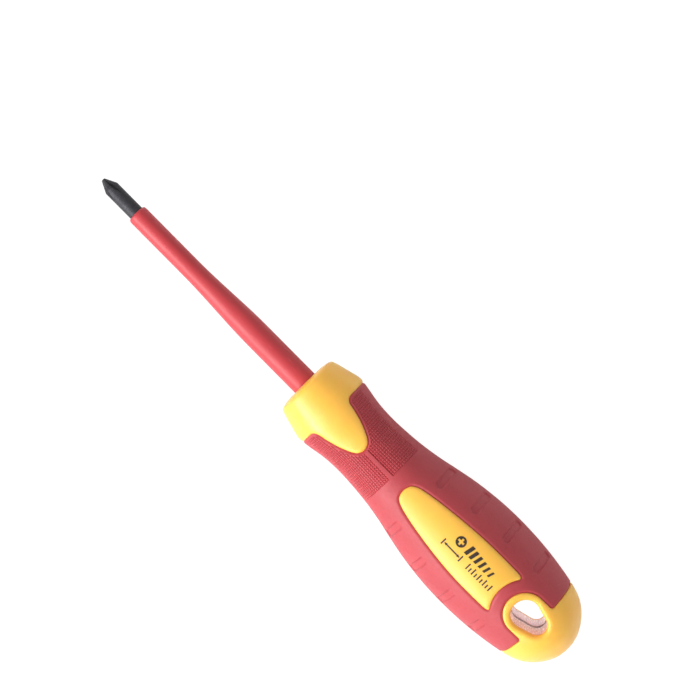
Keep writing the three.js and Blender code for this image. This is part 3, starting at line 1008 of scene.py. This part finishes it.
class Look:
    """A node material built up step by step round one Principled shader."""

    def __init__(self, name):
        self.material = bpy.data.materials.new(name)
        self.material.use_nodes = True
        self.tree = self.material.node_tree
        self.shader = self.tree.nodes["Principled BSDF"]
        self.coordinates = self.add("ShaderNodeTexCoord").outputs["Object"]
        self.height = None

    def add(self, kind, inputs=(), **settings):
        """A node with settings; inputs are (socket, value or output) pairs."""
        node = self.tree.nodes.new(kind)
        for key, value in settings.items():
            setattr(node, key, value)
        for socket, value in inputs:
            self.put(node.inputs[socket], value)
        return node

    def put(self, socket, value):
        """Links an output to a socket, or sets the socket to a value."""
        if isinstance(value, bpy.types.NodeSocket):
            self.tree.links.new(value, socket)
        else:
            socket.default_value = value

    def stretched(self, scale):
        """The object's coordinates scaled by a different amount along each axis, per metre."""
        pairs = (("Vector", self.coordinates), ("Scale", scale))
        return self.add("ShaderNodeMapping", pairs).outputs["Vector"]

    def noise(self, size, detail=3.0, vector=None, roughness=0.55):
        """Noise whose features are about size millimetres across."""
        where = self.coordinates if vector is None else vector
        pairs = [("Vector", where), ("Scale", METRE / size)]
        pairs += [("Detail", detail), ("Roughness", roughness)]
        return self.add("ShaderNodeTexNoise", pairs).outputs["Fac"]

    def ramp(self, value, low, high, start=0.3, end=0.7):
        """Maps a value to the range low to high."""
        pairs = [("Value", value), ("From Min", start), ("From Max", end)]
        pairs += [("To Min", low), ("To Max", high)]
        return self.add("ShaderNodeMapRange", pairs).outputs["Result"]

    def blend(self, factor, *colours):
        """Mixes two colours, each an output or three numbers."""
        first, second = (c if isinstance(c, bpy.types.NodeSocket) else (*c, 1) for c in colours)
        pairs = ((0, factor), (6, first), (7, second))
        return self.add("ShaderNodeMix", pairs, data_type="RGBA").outputs[2]

    def cloud(self, size, detail, dark, light, vector=None):
        """Soft clouds of two colours."""
        return self.blend(self.ramp(self.noise(size, detail, vector), 0, 1), dark, light)

    def along(self, axis):
        """The object's coordinate along an axis, in metres."""
        return self.add("ShaderNodeSeparateXYZ", [("Vector", self.coordinates)]).outputs[axis]

    def math(self, kind, first, second):
        return self.add("ShaderNodeMath", ((0, first), (1, second)), operation=kind).outputs[0]

    def bump(self, height, distance):
        """Adds a bump of the given depth in millimetres."""
        pairs = [("Height", height), ("Distance", distance / METRE), ("Strength", 1.0)]
        if self.height is not None:
            pairs.append(("Normal", self.height))
        self.height = self.add("ShaderNodeBump", pairs).outputs["Normal"]

    def finish(self, **sockets):
        """Sets the shader's sockets; an output is linked and a number or colour is set."""
        if self.height is not None:
            self.put(self.shader.inputs["Normal"], self.height)
        for name, value in sockets.items():
            self.put(self.shader.inputs[name.replace("_", " ")], value)
        return self.material


def yellow_plastic():
    """Hard moulded plastic: semi-gloss, faint flow clouds, fine moulded grain and a painted orange tint
    on convex edges.

    The faint glow stands in for light that the plastic scatters inside.
    """
    look = Look("yellow_plastic_look")
    colour = look.cloud(9, 4, (0.945, 0.507, 0.058), (0.975, 0.540, 0.071))
    speck = look.ramp(look.noise(0.35, 2), 0, 0.35, 0.66, 0.76)
    colour = look.blend(speck, colour, (0.89, 0.45, 0.055))
    # Painted light: an orange tint on convex edges, found by pointiness, stands in for the warm light
    # and shade on the plastic's rounded rims.
    convex = look.add("ShaderNodeNewGeometry").outputs["Pointiness"]
    colour = look.blend(look.ramp(convex, 0, 0.5, 0.5, 0.56), colour, (0.97, 0.46, 0.07))
    look.bump(look.noise(0.16, 2), 0.006)
    look.bump(look.noise(5, 2), 0.03)
    rough = look.ramp(look.noise(1.6, 5), 0.30, 0.42)
    return look.finish(
        Base_Color=colour, Roughness=rough, IOR=1.6, Subsurface_Weight=0.5,
        Subsurface_Radius=(1.0, 0.45, 0.12), Subsurface_Scale=0.003,
        Emission_Color=(1.0, 0.42, 0.07, 1.0), Emission_Strength=0.03,
    )


def soft_red_grip():
    """Soft rubbery plastic: matte, clouded, with a fine grain and faint darker patches."""
    look = Look("soft_red_grip_look")
    colour = look.cloud(7, 5, (0.415, 0.033, 0.044), (0.450, 0.040, 0.052))
    patch = look.ramp(look.noise(1.8, 6), 0, 0.35, 0.58, 0.74)
    colour = look.blend(patch, colour, (0.34, 0.024, 0.034))
    look.bump(look.noise(0.11, 3, roughness=0.7), 0.014)
    look.bump(look.noise(1.3, 3), 0.012)
    rough = look.ramp(look.noise(0.8, 5), 0.50, 0.66)
    return look.finish(
        Base_Color=colour, Roughness=rough, IOR=1.58, Sheen_Weight=0.08, Sheen_Roughness=0.5,
        Sheen_Tint=(1.0, 0.62, 0.66, 1.0), Subsurface_Weight=0.1, Subsurface_Radius=(1.0, 0.2, 0.15),
        Subsurface_Scale=0.0006,
    )


def red_insulation():
    """Moulded insulating sleeve: soft gloss, drawn slightly along the blade, tiny scuffs."""
    look = Look("red_insulation_look")
    drawn = look.stretched((0.12, 1.0, 1.0))
    colour = look.cloud(3, 4, (0.50, 0.035, 0.044), (0.55, 0.044, 0.055), drawn)
    scuff = look.ramp(look.noise(0.5, 4, drawn), 0, 0.5, 0.62, 0.75)
    colour = look.blend(scuff, colour, (0.64, 0.08, 0.10))
    look.bump(look.noise(0.35, 3), 0.012)
    look.bump(look.noise(2.2, 2, drawn), 0.02)
    rough = look.ramp(look.noise(1.1, 5, drawn), 0.40, 0.54)
    return look.finish(
        Base_Color=colour, Roughness=rough, IOR=1.5, Subsurface_Weight=0.1,
        Subsurface_Radius=(1.0, 0.2, 0.15), Subsurface_Scale=0.0006,
    )


def blade_steel():
    """Black oxide on ground steel: fine rings from grinding, mottled oxide, a rubbed tip."""
    look = Look("blade_steel_look")
    colour = look.cloud(1.2, 6, (0.036, 0.036, 0.042), (0.053, 0.052, 0.059))
    near_tip = look.ramp(look.along("X"), 0.5, 0, 0.0002, 0.0025)
    worn = look.math("MULTIPLY", near_tip, look.noise(0.5, 4))
    colour = look.blend(worn, colour, (0.15, 0.146, 0.15))
    look.bump(look.noise(0.2, 3, look.stretched((1.0, 0.05, 0.05))), 0.006)
    look.bump(look.noise(0.25, 4), 0.008)
    rough = look.ramp(look.noise(0.9, 5), 0.42, 0.58)
    return look.finish(Base_Color=colour, Roughness=rough, Metallic=0.35, IOR=1.35)


def clear_core():
    """Hard translucent core, cloudy: darker and warm near the face, pale lilac below, which is painted
    light from below;
    painted shade makes a dark line at the parting line and darkens the foot of the hole's wall.

    The glow stands in for light that the clear plastic scatters inside.
    """
    look = Look("clear_core_look")
    height = look.along("Z")
    # Painted light: paler lilac deep in the hole, where light comes in from below, and darker and warmer
    # near the face.
    depth = look.ramp(height, 1, 0, -0.003, 0.004)
    colour = look.blend(depth, (0.72, 0.44, 0.36), (0.82, 0.68, 0.70))
    colour = look.blend(look.ramp(look.noise(2.5, 5), 0, 0.4), colour, (0.84, 0.72, 0.74))
    # Painted shade: a dark band along the parting groove, and a darker foot at the bottom of the hole's
    # wall.
    parting = look.ramp(look.math("ABSOLUTE", height, 0.0), 0.9, 0, 0.0008, 0.0018)
    foot = look.ramp(height, 0.8, 0, -0.0125, -0.0105)
    colour = look.blend(look.math("MAXIMUM", parting, foot), colour, (0.16, 0.09, 0.09))
    marks = look.noise(0.5, 3, look.stretched((1.0, 1.0, 0.12)))
    look.bump(marks, 0.006)
    rough = look.ramp(marks, 0.18, 0.34)
    return look.finish(
        Base_Color=colour, Roughness=rough, IOR=1.5, Subsurface_Weight=0.6,
        Subsurface_Radius=(1.0, 0.6, 0.6), Subsurface_Scale=0.002,
        Emission_Color=colour, Emission_Strength=0.26,
    )


def marking_ink():
    """Printed black ink: slightly uneven, with pinholes of wear."""
    look = Look("marking_ink_look")
    colour = look.cloud(0.8, 5, (0.020, 0.014, 0.010), (0.042, 0.030, 0.020))
    pinhole = look.ramp(look.noise(0.22, 3), 0, 0.5, 0.64, 0.74)
    colour = look.blend(pinhole, colour, (0.30, 0.17, 0.05))
    look.bump(look.noise(0.15, 3), 0.01)
    return look.finish(Base_Color=colour, Roughness=look.ramp(look.noise(0.8, 5), 0.4, 0.6), IOR=1.45)


# ---- assembly

def add_piece(piece, look, node=None):
    piece.data.materials.clear()
    piece.data.materials.append(look)
    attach(piece, "root")
    if node is not None:
        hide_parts(node)


yellow = yellow_plastic()
add_piece(make_blade(), blade_steel(), "blade")
add_piece(make_sleeve(), red_insulation(), "blade_insulation")
add_piece(make_core(), clear_core(), "handle_core")
add_piece(make_collar().mirror().build("collar_shell"), yellow, "front_collar")
panel = make_panel()
for side, place in ((1, "front"), (-1, "back")):
    add_piece(one_side(panel, f"panel_{place}", side), yellow, f"label_panel_{place}")
add_piece(make_tail().mirror().build("tail_dome"), yellow, "tail_cap")
add_piece(make_grip().mirror().build("grip_skin"), soft_red_grip(), "grip_sleeve")
add_piece(make_print(), marking_ink())


# ---- stage, light and camera

TILT = math.radians(5.95)  # the camera stands this far towards +Y from square on
OUT = Vector((0, math.sin(TILT), math.cos(TILT)))
UP_SIDE = Vector((0, math.cos(TILT), -math.sin(TILT)))
PICTURE_TURN = math.radians(45.26)  # the tool lies across the picture from upper left to lower right
RIGHT = Vector((1, 0, 0)) * math.cos(PICTURE_TURN) + UP_SIDE * math.sin(PICTURE_TURN)
UP = UP_SIDE * math.cos(PICTURE_TURN) - Vector((1, 0, 0)) * math.sin(PICTURE_TURN)
AIM = Vector((81.85, 0, 0)) + 15.4 * UP_SIDE
DISTANCE = 611
LENS = 113.2
FLOOR_Z = -16.3
SOFTBOX_LENGTH = 700
SOFTBOX_TARGET = Vector((95, 0, 0))


def look_frame(right, up, out, place):
    """A transform whose local axes are right, up and out, with place in millimetres."""
    columns = Matrix((right, up, out)).transposed().to_4x4()
    return Matrix.Translation(place / METRE) @ columns


def add_camera():
    data = bpy.data.cameras.new("camera")
    data.lens = LENS
    data.clip_start = 0.05
    data.clip_end = 20
    camera = link("camera", data)
    camera.matrix_world = look_frame(RIGHT, UP, OUT, AIM + DISTANCE * OUT)
    bpy.context.scene.camera = camera


def add_softbox(name, direction, distance, width, watts):
    """An area light as long as the tool's whole space, facing the tool from a direction."""
    data = bpy.data.lights.new(name, "AREA")
    data.shape = "RECTANGLE"
    data.size, data.size_y = SOFTBOX_LENGTH / METRE, width / METRE
    data.energy = watts
    out = Vector(direction).normalized()
    side = Vector((1, 0, 0)).cross(out).normalized()
    right = side.cross(out).normalized()
    link(name, data).matrix_world = look_frame(right, side, out, SOFTBOX_TARGET + distance * out)


def floor_look():
    """Pale seamless floor: nearly even white to the eye, an ordinary pale surface to the light."""
    look = Look("floor_look")
    grain = look.ramp(look.noise(40, 3), 0.985, 1.0)
    pale = look.blend(grain, (0.80, 0.80, 0.80), (0.86, 0.86, 0.86))
    look.finish(Base_Color=pale, Roughness=0.9)
    glow = look.add("ShaderNodeEmission", (("Color", (1, 1, 1, 1)), ("Strength", 1.08)))
    seen = look.add("ShaderNodeLightPath").outputs["Is Camera Ray"]
    share = look.math("MULTIPLY", seen, 0.9)
    pairs = ((0, share), (1, look.shader.outputs[0]), (2, glow.outputs[0]))
    mix = look.add("ShaderNodeMixShader", pairs)
    look.put(look.tree.nodes["Material Output"].inputs["Surface"], mix.outputs[0])
    return look.material


def add_floor(half=3000, cells=12):
    mesh = bpy.data.meshes.new("floor")
    shape = bmesh.new()
    place = Matrix.Translation((0.09, 0, FLOOR_Z / METRE))
    bmesh.ops.create_grid(shape, x_segments=cells, y_segments=cells, size=half / METRE, matrix=place)
    shape.to_mesh(mesh)
    shape.free()
    floor = make_object("floor", mesh)
    mesh.materials.append(floor_look())


def set_world(strength=0.57):
    world = bpy.data.worlds.new("studio")
    bpy.context.scene.world = world
    world.use_nodes = True
    tree = world.node_tree
    background = tree.nodes["Background"]
    background.inputs["Color"].default_value = (1, 1, 1, 1)
    path = tree.nodes.new("ShaderNodeLightPath")
    level = tree.nodes.new("ShaderNodeMapRange")
    level.inputs["To Min"].default_value = strength
    level.inputs["To Max"].default_value = 1.0
    tree.links.new(path.outputs["Is Camera Ray"], level.inputs["Value"])
    tree.links.new(level.outputs["Result"], background.inputs["Strength"])


add_camera()
add_softbox("key", (-0.25, -1.0, 0.75), 700, 420, 3.2)
add_softbox("front", (-0.15, -0.5, 0.85), 800, 420, 1.7)
add_softbox("strip", (0, -0.85, 0.53), 500, 70, 1.9)
add_floor()
set_world()
bpy.context.scene.view_settings.view_transform = "Standard"
